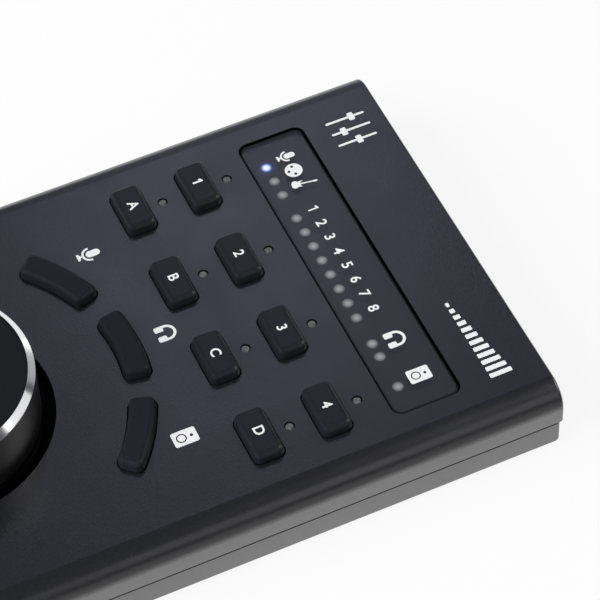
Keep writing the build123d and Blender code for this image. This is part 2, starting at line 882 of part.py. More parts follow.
# Socket tongue, standing out from the back of the shell
with BuildPart() as socket_tongue:
    with BuildSketch(Plane.XZ.offset(-socket_y + tongue_inset)):
        with Locations((0, socket_z)):
            Rectangle(tongue_width, tongue_thickness)
    extrude(amount=socket_depth - socket_back - tongue_inset)
save(socket_tongue, "socket_tongue")
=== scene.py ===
import json
import math

import bmesh
import bpy
from mathutils import Matrix, Vector


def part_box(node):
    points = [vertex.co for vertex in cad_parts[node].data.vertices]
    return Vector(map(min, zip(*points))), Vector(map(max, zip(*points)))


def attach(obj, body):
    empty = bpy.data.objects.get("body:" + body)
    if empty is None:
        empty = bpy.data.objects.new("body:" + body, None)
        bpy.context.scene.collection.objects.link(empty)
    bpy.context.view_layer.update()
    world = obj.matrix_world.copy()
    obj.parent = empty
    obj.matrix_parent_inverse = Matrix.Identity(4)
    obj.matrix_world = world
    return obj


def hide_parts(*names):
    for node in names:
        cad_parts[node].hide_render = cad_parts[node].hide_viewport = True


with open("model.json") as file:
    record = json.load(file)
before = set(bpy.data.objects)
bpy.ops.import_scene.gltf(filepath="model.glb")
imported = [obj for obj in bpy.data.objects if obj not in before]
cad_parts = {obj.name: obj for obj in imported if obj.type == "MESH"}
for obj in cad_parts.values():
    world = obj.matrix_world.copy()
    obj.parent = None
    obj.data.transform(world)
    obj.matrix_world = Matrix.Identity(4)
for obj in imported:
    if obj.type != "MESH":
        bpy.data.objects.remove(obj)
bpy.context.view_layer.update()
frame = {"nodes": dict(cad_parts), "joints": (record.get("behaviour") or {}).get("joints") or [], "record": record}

nodes = frame["nodes"]
scene = bpy.context.scene
scene.view_settings.view_transform = "Standard"
mm = 0.001


def topOf(node):  # a node's highest level, in mm
    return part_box(node)[1].z / mm


def middleOf(node):  # a node's middle in plan, in mm
    low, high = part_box(node)
    return (low.x + high.x) / 2 / mm, (low.y + high.y) / 2 / mm


topFace = topOf("top_cover")
windowTop = topOf("display_window")
keyTop = topOf("key_1")
knobTurn = next(joint for joint in frame["joints"] if joint["name"] == "knob_turn")
knobAxis = [place / mm for place in knobTurn["pos_m"][:2]]

# Camera, at the photograph's angle
view = {
    "target": (4.100, 41.730, 17.1),  # mm, part frame
    "azimuth": 68.054,  # degrees from the front towards the right
    "elevation": 51.128,
    "roll": -3.152,
    "distance": 598.33,
    "lens": 183.317,
    "sensor": 36.0,
    "nearest": 0.01,  # m
}


def placeCamera():
    turn, rise, roll = (math.radians(view[key]) for key in ("azimuth", "elevation", "roll"))
    back = Vector((math.sin(turn) * math.cos(rise), -math.cos(turn) * math.cos(rise), math.sin(rise)))
    right = (-back).cross(Vector((0, 0, 1))).normalized()
    up = right.cross(-back)
    rolledRight = math.cos(roll) * right + math.sin(roll) * up
    rolledUp = -math.sin(roll) * right + math.cos(roll) * up
    spot = (Vector(view["target"]) + view["distance"] * back) * mm
    lensData = bpy.data.cameras.new("photoCamera")
    lensData.lens = view["lens"]
    lensData.sensor_width = view["sensor"]
    lensData.clip_start = view["nearest"]
    camera = bpy.data.objects.new("photoCamera", lensData)
    scene.collection.objects.link(camera)
    turned = Matrix((rolledRight, rolledUp, back)).transposed().to_4x4()
    camera.matrix_world = Matrix.Translation(spot) @ turned
    scene.camera = camera


placeCamera()
print("camera placed")


# Small helpers for the finishes
def newFinish(name):
    material = bpy.data.materials.new(name)
    material.use_nodes = True
    tree = material.node_tree
    return material, tree, tree.nodes["Principled BSDF"]


def feed(tree, value, socket):  # a link where the value is another node's output
    if isinstance(value, bpy.types.NodeSocket):
        tree.links.new(value, socket)
    else:
        socket.default_value = value


def objectPoint(tree, centre=None):
    place = tree.nodes.new("ShaderNodeTexCoord").outputs["Object"]
    if centre is None:
        return place
    mapping = tree.nodes.new("ShaderNodeMapping")
    mapping.inputs["Location"].default_value = [-value * mm for value in centre]
    tree.links.new(place, mapping.inputs["Vector"])
    return mapping.outputs["Vector"]


def axisOf(tree, point, axis):
    parts = tree.nodes.new("ShaderNodeSeparateXYZ")
    tree.links.new(point, parts.inputs["Vector"])
    return parts.outputs[axis]


def lengthOf(tree, point):
    reach = tree.nodes.new("ShaderNodeVectorMath")
    reach.operation = "LENGTH"
    tree.links.new(point, reach.inputs[0])
    return reach.outputs["Value"]


def flatReach(tree, point):  # distance from the upright axis
    flat = tree.nodes.new("ShaderNodeVectorMath")
    flat.operation = "MULTIPLY"
    flat.inputs[1].default_value = (1, 1, 0)
    tree.links.new(point, flat.inputs[0])
    return lengthOf(tree, flat.outputs["Vector"])


def mathOf(tree, operation, first, second=None):
    step = tree.nodes.new("ShaderNodeMath")
    step.operation = operation
    feed(tree, first, step.inputs[0])
    if second is not None:
        feed(tree, second, step.inputs[1])
    return step.outputs["Value"]


def noiseOf(tree, point, scale, detail=3.0):
    noise = tree.nodes.new("ShaderNodeTexNoise")
    noise.inputs["Scale"].default_value = scale
    noise.inputs["Detail"].default_value = detail
    tree.links.new(point, noise.inputs["Vector"])
    return noise.outputs["Fac"]


def rampOf(tree, value, low, high, start=0.3, stop=0.7):
    ramp = tree.nodes.new("ShaderNodeValToRGB")
    for end, place, colour in zip(ramp.color_ramp.elements, (start, stop), (low, high)):
        end.position = place
        end.color = (*colour, 1)
    tree.links.new(value, ramp.inputs["Fac"])
    return ramp.outputs["Color"]


def rangeOf(tree, value, low, high, start=0.25, stop=0.75, curve="LINEAR"):
    spread = tree.nodes.new("ShaderNodeMapRange")
    spread.interpolation_type = curve
    for end, amount in zip(("From Min", "From Max", "To Min", "To Max"), (start, stop, low, high)):
        spread.inputs[end].default_value = amount
    tree.links.new(value, spread.inputs["Value"])
    return spread.outputs["Result"]


def addBump(tree, shader, value, strength, depth):
    bump = tree.nodes.new("ShaderNodeBump")
    bump.inputs["Strength"].default_value = strength
    bump.inputs["Distance"].default_value = depth * mm
    tree.links.new(value, bump.inputs["Height"])
    tree.links.new(bump.outputs["Normal"], shader.inputs["Normal"])


# A surface with a fine even grain: colour and relief follow the grain, gloss follows a slow cloud
plainGrain = {"cloud": 60.0, "metal": 0.0, "index": 1.5, "relief": 0.3, "depth": 0.02}


def grained(name, ownLook):
    look = {**plainGrain, **ownLook}
    material, tree, shader = newFinish(name)
    point = objectPoint(tree)
    grain = noiseOf(tree, point, look["grain"])
    cloud = noiseOf(tree, point, look["cloud"])
    tree.links.new(rampOf(tree, grain, look["dark"], look["light"]), shader.inputs["Base Color"])
    tree.links.new(rangeOf(tree, cloud, *look["rough"]), shader.inputs["Roughness"])
    shader.inputs["Metallic"].default_value = look["metal"]
    shader.inputs["IOR"].default_value = look["index"]
    addBump(tree, shader, grain, look["relief"], look["depth"])
    return material


coverLook = {
    "dark": (0.0016, 0.0017, 0.0026), "light": (0.0096, 0.0099, 0.0126), "grain": 2600.0,
    "rough": (0.27, 0.33), "index": 2.6, "relief": 1.0, "depth": 0.02,
}
trayLook = {
    "dark": (0.016, 0.0162, 0.018), "light": (0.022, 0.0222, 0.025), "grain": 2600.0,
    "rough": (0.38, 0.44), "index": 2.6, "relief": 0.3, "depth": 0.015,
}
rubberLook = {
    "dark": (0.0098, 0.0110, 0.0148), "light": (0.0136, 0.0150, 0.0194), "grain": 5200.0,
    "rough": (0.34, 0.42), "relief": 0.25, "depth": 0.012, "index": 1.65,
}
# painted shade: a copy of the key rubber with a paler base and a lower index, tuned so the arc keys come out
# darker than the square keys
arcShadedCopyLook = {
    "dark": (0.0124, 0.0140, 0.0188), "light": (0.0166, 0.0186, 0.0244), "grain": 5200.0,
    "rough": (0.38, 0.46), "relief": 0.25, "depth": 0.012, "index": 1.34,
}
maskLook = {
    "dark": (0.010, 0.0103, 0.014), "light": (0.0145, 0.0148, 0.019), "grain": 900.0,
    "rough": (0.28, 0.34), "index": 2.6,
}
footLook = {
    "dark": (0.022, 0.022, 0.022), "light": (0.034, 0.034, 0.034), "grain": 3000.0,
    "rough": (0.75, 0.9),
}
mouldLook = {
    "dark": (0.013, 0.013, 0.014), "light": (0.019, 0.019, 0.02), "grain": 3000.0,
    "rough": (0.45, 0.6),
}
carbonLook = {
    "dark": (0.015, 0.015, 0.015), "light": (0.028, 0.028, 0.028), "grain": 4000.0,
    "rough": (0.7, 0.85),
}
matLook = {
    "dark": (0.19, 0.19, 0.2), "light": (0.24, 0.24, 0.25), "grain": 1500.0,
    "rough": (0.6, 0.7),
}
boardLook = {
    "dark": (0.012, 0.1, 0.035), "light": (0.024, 0.15, 0.06), "grain": 700.0,
    "rough": (0.3, 0.4),
}
frostLook = {
    "dark": (0.62, 0.63, 0.66), "light": (0.74, 0.75, 0.78), "grain": 2600.0,
    "rough": (0.45, 0.6),
}
pipeLook = {
    "dark": (0.08, 0.081, 0.087), "light": (0.22, 0.223, 0.235), "grain": 2200.0,
    "rough": (0.3, 0.4),
}
lampLook = {
    "dark": (0.76, 0.75, 0.66), "light": (0.86, 0.85, 0.78), "grain": 1800.0,
    "rough": (0.3, 0.4),
}
inkLook = {
    "dark": (0.88, 0.88, 0.885), "light": (0.93, 0.93, 0.935), "grain": 2400.0,
    "rough": (0.45, 0.55),
}
darkInkLook = {
    "dark": (0.016, 0.016, 0.018), "light": (0.024, 0.024, 0.026), "grain": 2400.0,
    "rough": (0.45, 0.55),
}
goldLook = {
    "dark": (0.74, 0.5, 0.16), "light": (0.84, 0.62, 0.24), "grain": 2000.0,
    "rough": (0.2, 0.3), "metal": 1.0,
}
steelLook = {
    "dark": (0.5, 0.5, 0.51), "light": (0.64, 0.64, 0.65), "grain": 1800.0,
    "rough": (0.26, 0.36), "metal": 1.0,
}
screwLook = {
    "dark": (0.04, 0.04, 0.042), "light": (0.06, 0.06, 0.063), "grain": 2200.0,
    "rough": (0.4, 0.5), "metal": 1.0,
}
brassLook = {
    "dark": (0.62, 0.47, 0.2), "light": (0.74, 0.58, 0.28), "grain": 1800.0,
    "rough": (0.25, 0.35), "metal": 1.0,
}


# Smoked clear panel over the lights
panelLook = {
    "dark": (0.020, 0.0205, 0.027), "light": (0.026, 0.0265, 0.034), "haze": 400.0,
    "rough": (0.32, 0.38), "cover": 0.24, "index": 3.3,
}


def smokedPanel():
    material, tree, shader = newFinish("smokedPanel")
    haze = noiseOf(tree, objectPoint(tree), panelLook["haze"])
    tree.links.new(rampOf(tree, haze, panelLook["dark"], panelLook["light"]), shader.inputs["Base Color"])
    tree.links.new(rangeOf(tree, haze, *panelLook["rough"]), shader.inputs["Roughness"])
    shader.inputs["Alpha"].default_value = panelLook["cover"]
    shader.inputs["IOR"].default_value = panelLook["index"]
    return material


# Turned metal: fine rings about the knob axis, on the faces and up the side
plainTurning = {
    "metal": 0.0, "gloss": 0.5, "index": 1.5, "cloud": 90.0, "detail": 2.0, "relief": 0.2, "depth": 0.01,
}
shellLook = {
    "dark": (0.010, 0.0101, 0.0115), "light": (0.016, 0.0161, 0.018), "lines": 5000.0,
    "rough": (0.28, 0.34), "index": 2.4,
}
discLook = {
    "dark": (0.0085, 0.0088, 0.0105), "light": (0.0115, 0.0118, 0.0140), "lines": 4200.0,
    "rough": (0.52, 0.6), "gloss": 0.4,
}
brightLook = {
    "dark": (0.80, 0.80, 0.81), "light": (0.90, 0.90, 0.91), "lines": 6000.0,
    "rough": (0.12, 0.17), "metal": 1.0, "relief": 0.08,
}


def turnedMetal(name, ownLook):
    look = {**plainTurning, **ownLook}
    material, tree, shader = newFinish(name)
    point = objectPoint(tree, (*knobAxis, 0.0))
    lines = tree.nodes.new("ShaderNodeTexNoise")
    lines.noise_dimensions = "1D"
    lines.inputs["Scale"].default_value = look["lines"]
    lines.inputs["Detail"].default_value = look["detail"]
    tree.links.new(mathOf(tree, "ADD", flatReach(tree, point), axisOf(tree, point, "Z")), lines.inputs["W"])
    colour = rampOf(tree, lines.outputs["Fac"], look["dark"], look["light"])
    tree.links.new(colour, shader.inputs["Base Color"])
    cloud = noiseOf(tree, point, look["cloud"])
    tree.links.new(rangeOf(tree, cloud, *look["rough"]), shader.inputs["Roughness"])
    shader.inputs["Metallic"].default_value = look["metal"]
    shader.inputs["Specular IOR Level"].default_value = look["gloss"]
    shader.inputs["IOR"].default_value = look["index"]
    addBump(tree, shader, lines.outputs["Fac"], look["relief"], look["depth"])
    return material


# Frosted lens tops: pale at the core, dimmer at the rim, from the lens's own attribute. On the dark lenses the
# pale core and dim rim are painted highlight and shade, standing in for a domed top on flat pegs; the lit lens
# also emits, as the lit light it is
lensHaze = {"grain": 2200.0, "rough": (0.45, 0.6)}
lensDomeShadeLook = {"rim": (0.23, 0.23, 0.25), "core": (0.95, 0.95, 0.98), "reach": (0.0, 0.8)}
litLook = {"rim": (0.03, 0.08, 0.36), "core": (0.74, 0.88, 1.0), "reach": (0.08, 0.72), "glow": 1.5}


def lensFinish(name, look):
    material, tree, shader = newFinish(name)
    core = tree.nodes.new("ShaderNodeAttribute")
    core.attribute_name = "core"
    haze = noiseOf(tree, objectPoint(tree), lensHaze["grain"])
    tree.links.new(rangeOf(tree, haze, *lensHaze["rough"]), shader.inputs["Roughness"])
    colour = rampOf(tree, core.outputs["Fac"], look["rim"], look["core"], *look["reach"])
    tree.links.new(colour, shader.inputs["Base Color"])
    if "glow" in look:
        tree.links.new(colour, shader.inputs["Emission Color"])
        shader.inputs["Emission Strength"].default_value = look["glow"]
    return material


# Cover coat, with painted shade: black and without shine inside the dish that the knob stands in and in the window
# pocket
dishShade = {
    "radius": 23.9, "level": 17.07, "foot": 17.3,
    "black": (0.001, 0.001, 0.0012, 1), "shine": (1, 1, 1, 1), "noShine": (0, 0, 0, 1),
}
pocketShade = {"middle": (0.0, 53.53), "reach": (38.1, 7.35), "level": 17.0}


def paintShadeBlack(tree, mask):
    shader = tree.nodes["Principled BSDF"]
    coat = shader.inputs["Base Color"].links[0].from_socket
    # painted shade: a black base and no specular shine where the mask is 1
    tints = (
        ("Base Color", coat, dishShade["black"]),
        ("Specular Tint", dishShade["shine"], dishShade["noShine"]),
    )
    for socket, before, after in tints:
        tone = tree.nodes.new("ShaderNodeMix")
        tone.data_type = "RGBA"
        tree.links.new(mask, tone.inputs["Factor"])
        feed(tree, before, tone.inputs["A"])
        tone.inputs["B"].default_value = after
        tree.links.new(tone.outputs["Result"], shader.inputs[socket])


def knobShellCoat():
    material = turnedMetal("knobBlackTurned", shellLook)
    tree = material.node_tree
    # painted shade: the knob's foot, down in the dish, is black and without shine
    paintShadeBlack(tree, mathOf(tree, "LESS_THAN", axisOf(tree, objectPoint(tree), "Z"), dishShade["foot"] * mm))
    return material


def coverCoat():
    material = grained("satinCoverCoat", coverLook)
    tree = material.node_tree
    point = objectPoint(tree, (*knobAxis, 0.0))
    within = mathOf(tree, "LESS_THAN", flatReach(tree, point), dishShade["radius"] * mm)
    below = mathOf(tree, "LESS_THAN", axisOf(tree, point, "Z"), dishShade["level"] * mm)
    dish = mathOf(tree, "MULTIPLY", within, below)
    around = objectPoint(tree, (*pocketShade["middle"], 0.0))
    pocket = 1.0
    for axis, limit in zip("XYZ", (*pocketShade["reach"], pocketShade["level"])):
        offset = mathOf(tree, "ABSOLUTE", axisOf(tree, around, axis))
        pocket = mathOf(tree, "MULTIPLY", pocket, mathOf(tree, "LESS_THAN", offset, limit * mm))
    # painted shade in the knob's dish and in the window pocket
    paintShadeBlack(tree, mathOf(tree, "MAXIMUM", dish, pocket))
    return material


finishes = {
    "cover_coat": coverCoat(),
    "tray_coat": grained("satinTrayCoat", trayLook),
    "smoked_panel": smokedPanel(),
    "key_rubber": grained("keyRubber", rubberLook),
    "knob_black": knobShellCoat(),
    "knob_disc": turnedMetal("knobDiscFaced", discLook),
    "knob_bright": turnedMetal("knobRingBright", brightLook),
    "carbon": grained("carbonPill", carbonLook),
    "mat_silicone": grained("matSilicone", matLook),
    "board_green": grained("boardGreen", boardLook),
    "pad_gold": grained("padGold", goldLook),
    "lens_frost": grained("lensFrost", frostLook),
    "lens_lit": grained("lensFrostLit", frostLook),
    "lamp_white": grained("lampWhite", lampLook),
    "baffle_black": grained("baffleBlack", maskLook),
    "moulded_black": grained("mouldedBlack", mouldLook),
    "steel": grained("plainSteel", steelLook),
    "screw_black": grained("screwBlack", screwLook),
    "bush_brass": grained("turnedBrass", brassLook),
    "foot_rubber": grained("footRubber", footLook),
}
whiteInk = grained("whiteInk", inkLook)
darkInk = grained("darkInk", darkInkLook)
pipeFrost = grained("pipeFrost", pipeLook)
arcShadedRubber = grained("arcKeyRubberShadedCopy", arcShadedCopyLook)


def dress(node, material):
    for slot in node.material_slots:
        slot.link = "OBJECT"
        slot.material = material


for part in frame["record"]["subparts"]:
    dress(nodes[part["node"]], finishes[part["material_slot"]])
dress(nodes["light_pipes"], pipeFrost)
# the arc keys wear the shaded copy of the key rubber
for name in ("mic_key", "headphone_key", "speaker_key"):
    dress(nodes[name], arcShadedRubber)
print("finishes assigned to", len(nodes), "nodes")


# New pieces: a bmesh in mm becomes an object at the origin, in metres
def makePiece(name, bm, material, body):
    bmesh.ops.scale(bm, vec=(mm, mm, mm), verts=bm.verts)
    bmesh.ops.recalc_face_normals(bm, faces=bm.faces)
    mesh = bpy.data.meshes.new(name)
    bm.to_mesh(mesh)
    bm.free()
    piece = bpy.data.objects.new(name, mesh)
    scene.collection.objects.link(piece)
    mesh.materials.append(material)
    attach(piece, body)
    return piece


def thicken(bm, faces, thickness):
    grown = bmesh.ops.extrude_face_region(bm, geom=faces)
    risen = [item for item in grown["geom"] if isinstance(item, bmesh.types.BMVert)]
    bmesh.ops.translate(bm, vec=(0, 0, thickness), verts=risen)


def roundedSheet(bm, size, radius, middle, level, segments):  # the faces of one flat sheet
    place = Matrix.Translation((*middle, level)) @ Matrix.Diagonal((*size, 1, 1))
    made = bmesh.ops.create_grid(bm, x_segments=1, y_segments=1, size=0.5, matrix=place)
    rounded = bmesh.ops.bevel(bm, geom=made["verts"], offset=radius, offset_type="OFFSET",
                              segments=segments, profile=0.5, affect="VERTICES", material=-1)
    return list({face for vert in rounded["verts"] for face in vert.link_faces})


# Lens pegs under the panel, each with an attribute that is 1 at its middle and 0 at its rim
lenses = {"y": 50.19, "foot": 11.9, "top": 15.88, "radius": 1.15, "segments": 40}
lightRows = {  # middle in x, count and pitch
    "sources": (-27.2, 3, 4.05),
    "channels": (-2.1, 8, 4.05),
    "phones": (21.0, 2, 3.5),
    "speaker": (30.8, 1, 0.0),
}


def rowOf(middle, count, pitch):
    return [middle + pitch * (step - (count - 1) / 2) for step in range(count)]


def makeLenses(name, places, material, node):
    bm = bmesh.new()
    core = bm.verts.layers.float.new("core")
    middle = (lenses["foot"] + lenses["top"]) / 2
    for x in places:
        made = bmesh.ops.create_cone(bm, cap_ends=True, cap_tris=True, segments=lenses["segments"],
                                     radius1=lenses["radius"], radius2=lenses["radius"],
                                     depth=lenses["top"] - lenses["foot"],
                                     matrix=Matrix.Translation((x, lenses["y"], middle)))
        for vert in made["verts"]:
            offset = vert.co - Vector((x, lenses["y"], vert.co.z))
            vert[core] = 1.0 - min(1.0, offset.length / lenses["radius"])
    piece = makePiece(name, bm, material, "case")
    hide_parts(node)


litLight, *darkLights = [x for row in lightRows.values() for x in rowOf(*row)]
makeLenses("litLens", [litLight], lensFinish("lensLit", litLook), "lit_diffuser")
makeLenses("darkLenses", darkLights, lensFinish("lensDarkDomeShade", lensDomeShadeLook), "dark_diffusers")


# Dark mask just under the panel, open over each lens, with a painted glow around the lit lens: emission on the
# mask that stands in for the lens's light falling on it
windowMask = {
    "middle": (-0.45, 53.68), "size": (74.1, 13.25), "radius": 1.7, "hole": 1.2, "foot": 15.8, "top": 15.88,
    "cornerSegments": 8, "holeSegments": 40,
}
# painted light: emission that fades from near to far around the lit lens
paintedGlowLook = {"height": 15.9, "near": 0.9, "far": 2.4, "colour": (0.10, 0.26, 0.95), "strength": 0.12}


def paintedGlowMask():
    material = grained("maskBlackPaintedGlow", maskLook)
    tree = material.node_tree
    shader = tree.nodes["Principled BSDF"]
    reach = lengthOf(tree, objectPoint(tree, (litLight, lenses["y"], paintedGlowLook["height"])))
    fade = rangeOf(tree, reach, 1.0, 0.0, paintedGlowLook["near"] * mm, paintedGlowLook["far"] * mm, "SMOOTHERSTEP")
    glow = rampOf(tree, fade, (0, 0, 0), paintedGlowLook["colour"], 0.0, 1.0)
    tree.links.new(glow, shader.inputs["Emission Color"])
    shader.inputs["Emission Strength"].default_value = paintedGlowLook["strength"]
    return material


def makeMask(places):
    bm = bmesh.new()
    sheet = roundedSheet(bm, windowMask["size"], windowMask["radius"], windowMask["middle"],
                         windowMask["foot"], windowMask["cornerSegments"])
    bmesh.ops.delete(bm, geom=sheet, context="FACES_ONLY")  # the rim stays
    for x in places:
        bmesh.ops.create_circle(bm, segments=windowMask["holeSegments"], radius=windowMask["hole"],
                                matrix=Matrix.Translation((x, lenses["y"], windowMask["foot"])))
    filled = bmesh.ops.triangle_fill(bm, edges=list(bm.edges), use_beauty=True)
    faces = [item for item in filled["geom"] if isinstance(item, bmesh.types.BMFace)]
    thicken(bm, faces, windowMask["top"] - windowMask["foot"])
    piece = makePiece("windowMask", bm, paintedGlowMask(), "case")
    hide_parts("window_mask")


makeMask([litLight, *darkLights])
print("window lenses and mask made")


# Printed marks: flat shapes drawn in mm about the mark's middle, given the thickness of the ink
ink = {"thickness": 0.02, "overlay": 0.012, "cornerSegments": 10, "roundSegments": 36}


def addPolygon(bm, points):
    corners = [bm.verts.new((x, y, 0)) for x, y in points]
    thicken(bm, [bm.faces.new(corners)], ink["thickness"])


def addRounded(bm, size, radius, middle=(0, 0), base=0.0):
    thicken(bm, roundedSheet(bm, size, radius, middle, base, ink["cornerSegments"]), ink["thickness"])


def addDisc(bm, radius, middle=(0, 0), base=0.0, thickness=ink["thickness"]):
    made = bmesh.ops.create_circle(bm, cap_ends=True, segments=ink["roundSegments"], radius=radius,
                                   matrix=Matrix.Translation((*middle, base)))
    faces = {face for vert in made["verts"] for face in vert.link_faces}
    thicken(bm, list(faces), thickness)


def addArc(bm, radius, stroke, start, sweep, middle=(0, 0), base=0.0, thickness=ink["thickness"]):
    first, last = math.radians(start), math.radians(sweep)
    ends = []
    for reach in (radius - stroke / 2, radius + stroke / 2):
        x = middle[0] + reach * math.cos(first)
        y = middle[1] + reach * math.sin(first)
        ends.append(bm.verts.new((x, y, base)))
    edge = bm.edges.new(ends)
    known = set(bm.faces)
    bmesh.ops.spin(bm, geom=[*ends, edge], cent=(*middle, base), axis=(0, 0, 1), angle=last,
                   steps=ink["roundSegments"], use_merge=sweep == 360)
    thicken(bm, [face for face in bm.faces if face not in known], thickness)


micMark = {
    "head": {"size": (1.64, 2.95), "radius": 0.815, "middle": (0, 0.94)},
    "yoke": {"radius": 1.49, "stroke": 0.46, "start": 176, "sweep": 188, "middle": (0, 0.33)},
    "stand": [(-0.2, -1.3), (-0.2, -1.62), (-0.88, -2.0), (-0.88, -2.38), (0.88, -2.38), (0.88, -2.0),
              (0.2, -1.62), (0.2, -1.3)],
}


def drawMic(bm, dark):
    addRounded(bm, **micMark["head"])
    addArc(bm, **micMark["yoke"])
    addPolygon(bm, micMark["stand"])


headphoneMark = {
    "pad": [(1.34, -0.09), (0.865, -0.09), (0.655, -0.18), (0.565, -0.39), (0.565, -1.61), (0.655, -1.82),
            (0.865, -1.91), (1.6, -1.91), (1.835, -1.81), (1.935, -1.57), (1.935, -0.2)],
    "outer": 1.92, "inner": 1.34, "rise": 0.24, "steps": 24,
}


def drawHeadphones(bm, dark):
    turns = [math.pi * step / headphoneMark["steps"] for step in range(headphoneMark["steps"] + 1)]
    outer, inner, rise = (headphoneMark[key] for key in ("outer", "inner", "rise"))
    outline = list(headphoneMark["pad"])
    outline += [(outer * math.cos(turn), rise + outer * math.sin(turn)) for turn in turns]
    outline += [(-x, y) for x, y in reversed(headphoneMark["pad"])]
    outline += [(-inner * math.cos(turn), rise + inner * math.sin(turn)) for turn in turns]
    addPolygon(bm, outline)


overprint = {"base": ink["thickness"], "thickness": ink["overlay"]}  # dark ink on the white
speakerMark = {
    "box": {"size": (3.55, 4.92), "radius": 0.45, "middle": (0, -0.04)},
    "cone": {"radius": 0.92, "stroke": 0.25, "start": 0, "sweep": 360, "middle": (0, -0.77)},
    "tweeter": {"radius": 0.33, "middle": (0, 1.29)},
}


def drawSpeaker(bm, dark):
    addRounded(bm, **speakerMark["box"])
    addArc(dark, **speakerMark["cone"], **overprint)
    addDisc(dark, **speakerMark["tweeter"], **overprint)


connectorMark = {"radius": 1.82, "pin": 0.3, "pins": ((-1.04, 0.0), (0.0, -1.05), (1.04, 0.0))}


def drawConnector(bm, dark):
    addDisc(bm, connectorMark["radius"])
    for pin in connectorMark["pins"]:
        addDisc(dark, connectorMark["pin"], pin, **overprint)


guitarMark = {
    "outline": [(-0.35, -1.0), (0.5, -1.0), (1.0, -0.6), (0.98, -0.1), (0.7, 0.3), (0.82, 1.1),
                (0.45, 0.85), (0.18, 0.78), (0.14, 3.45), (0.24, 3.55), (0.24, 4.3), (-0.1, 4.4),
                (-0.22, 4.3), (-0.2, 3.55), (-0.14, 3.45), (-0.14, 0.82), (-0.36, 0.86), (-0.8, 1.55),
                (-0.76, 0.8), (-0.66, 0.3), (-0.95, -0.1), (-0.9, -0.65)],
    "lean": 9.5, "waist": 1.7,
}


def drawGuitar(bm, dark):
    lean = math.radians(guitarMark["lean"])
    along, across = math.cos(lean), math.sin(lean)
    centred = [(x, y - guitarMark["waist"]) for x, y in guitarMark["outline"]]
    addPolygon(bm, [(x * along + y * across, y * along - x * across) for x, y in centred])


sliderMark = {
    "track": {"size": (0.55, 8.6), "radius": 0.27},
    "grip": {"size": (2.1, 1.25), "radius": 0.3, "base": 0.004},
    "places": ((-3.2, 1.4), (0.0, -1.6), (3.2, 0.4)),
}


def drawSliders(bm, dark):
    for x, gripAt in sliderMark["places"]:
        addRounded(bm, **sliderMark["track"], middle=(x, 0))
        addRounded(bm, **sliderMark["grip"], middle=(x, gripAt))


levelMark = {
    "bars": 12, "shortest": 0.7, "step": 0.36, "width": 1.05, "radius": 0.2, "pitch": 1.75, "foot": -2.3,
}


def drawLevels(bm, dark):
    for step, x in enumerate(rowOf(0.0, levelMark["bars"], levelMark["pitch"])):
        tall = levelMark["shortest"] + levelMark["step"] * step
        addRounded(bm, (levelMark["width"], tall), levelMark["radius"], (x, tall / 2 + levelMark["foot"]))


def printPiece(name, bm, material, body, middle, level):
    bmesh.ops.translate(bm, vec=(*middle, level), verts=bm.verts)
    piece = makePiece(name, bm, material, body)
    piece.visible_shadow = level != windowTop  # print on the panel leaves no shadow on the mask


marks = {
    "topMic": (drawMic, (-24.9, 8.65), topFace, 1.0),
    "topHeadphones": (drawHeadphones, (0.1, 14.8), topFace, 1.0),
    "topSpeaker": (drawSpeaker, (24.9, 8.4), topFace, 1.0),
    "windowMic": (drawMic, (-31.5, 54.65), windowTop, 0.81),
    "windowConnector": (drawConnector, (-27.39, 54.59), windowTop, 1.0),
    "windowGuitar": (drawGuitar, (-23.35, 55.2), windowTop, 1.0),
    "windowHeadphones": (drawHeadphones, (20.79, 54.35), windowTop, 0.99),
    "windowSpeaker": (drawSpeaker, (30.66, 54.8), windowTop, 0.93),
    "rearSliders": (drawSliders, (-32.3, 69.75), topFace, 1.0),
    "rearLevels": (drawLevels, (27.5, 69.0), topFace, 1.0),
}
for name, (draw, middle, level, size) in marks.items():
    light, dark = bmesh.new(), bmesh.new()
    draw(light, dark)
    inks = (("Ink", light, whiteInk, "lens_frost"), ("Overprint", dark, darkInk, "baffle_black"))
    for tone, bm, material, slotName in inks:
        if not bm.verts:
            bm.free()
            continue
        bmesh.ops.scale(bm, vec=(size, size, 1), verts=bm.verts)
        printPiece(name + tone, bm, material, "case", middle, level)
print("pictograms printed")


# Figures and letters on the keys and the window; the figure one is drawn with a flag
lettering = {
    "weight": 0.018,
    "draftDepth": 0.5,
    "weld": 0.0005,
    "keyHeight": 2.15,
    "windowHeight": 2.25,
    "figureShift": 0.05,  # behind the key's middle
    "letterShift": 0.10,
    "windowRow": 53.88,
    "keyOne": [(0.10, -0.5), (0.10, 0.5), (-0.07, 0.5), (-0.30, 0.32), (-0.30, 0.12), (-0.11, 0.25),
               (-0.11, -0.5)],
    "windowOne": [(0.10, -0.5), (0.10, 0.5), (-0.03, 0.5), (-0.27, 0.35), (-0.27, 0.20), (-0.05, 0.31),
                  (-0.05, -0.5)],
}


